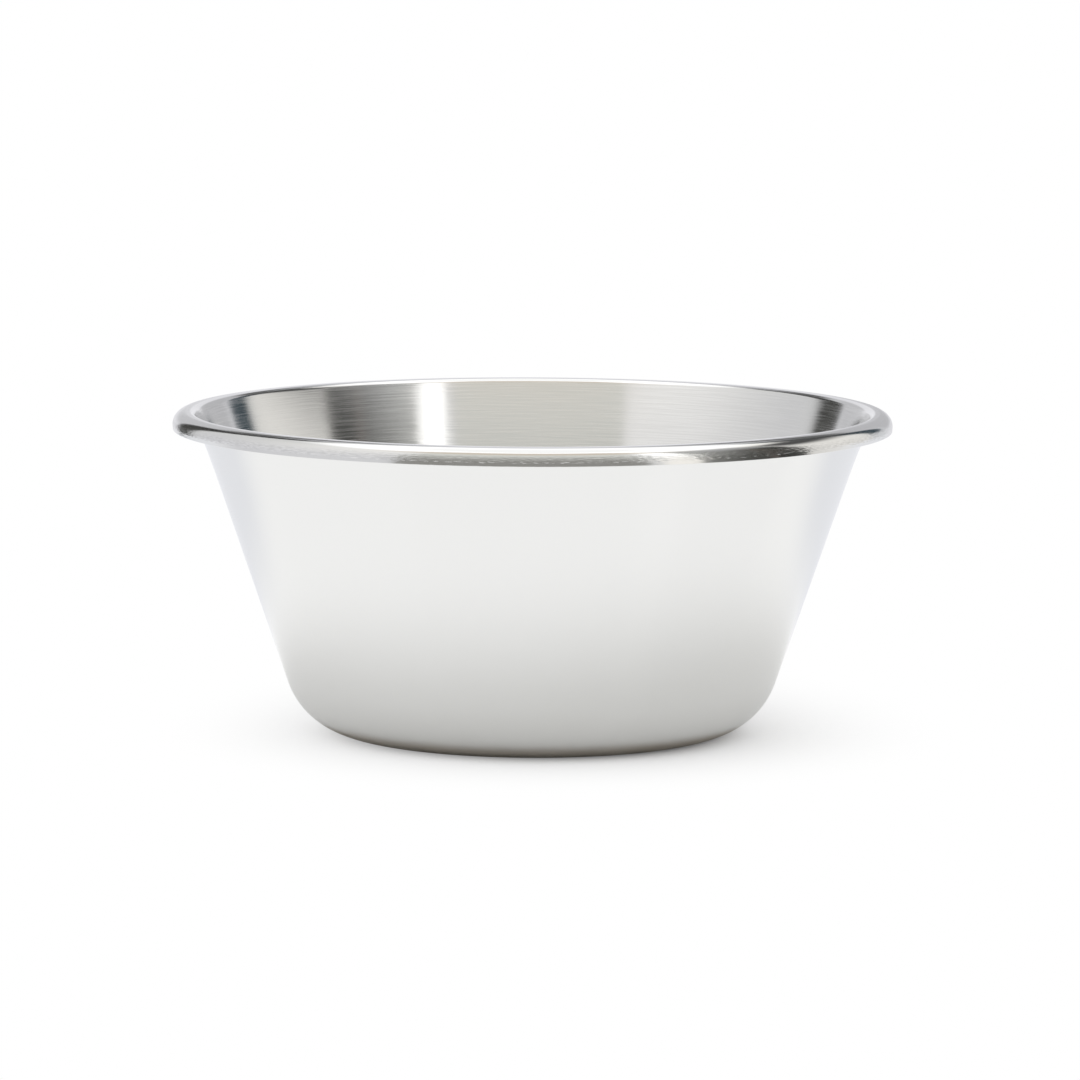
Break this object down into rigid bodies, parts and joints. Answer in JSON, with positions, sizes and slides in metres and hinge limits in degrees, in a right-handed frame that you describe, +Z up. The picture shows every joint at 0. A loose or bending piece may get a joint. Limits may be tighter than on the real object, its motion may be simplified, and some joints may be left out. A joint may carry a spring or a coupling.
{
  "type": "pastry bowl",
  "caption": "Flat-based stainless steel mixing bowl with a straight tapered wall, a rounded corner and an outward curled lip, for pastry and other kitchen work.",
  "frame": {"origin": "centre of the flat face that the bowl rests on", "axes": "+Z up along the bowl's axis of revolution, out of its mouth; +X and +Y lie in the resting face"},
  "size_m": [0.24, 0.24, 0.108],
  "materials": {
    "brushed_shell": "satin brushed round the axis, with a smoother lip",
    "wire": "plain drawn wire"
  },
  "bodies": {
    "root": {"bowl_shell": "brushed_shell", "rim_wire": "wire"}
  },
  "joints": []
}
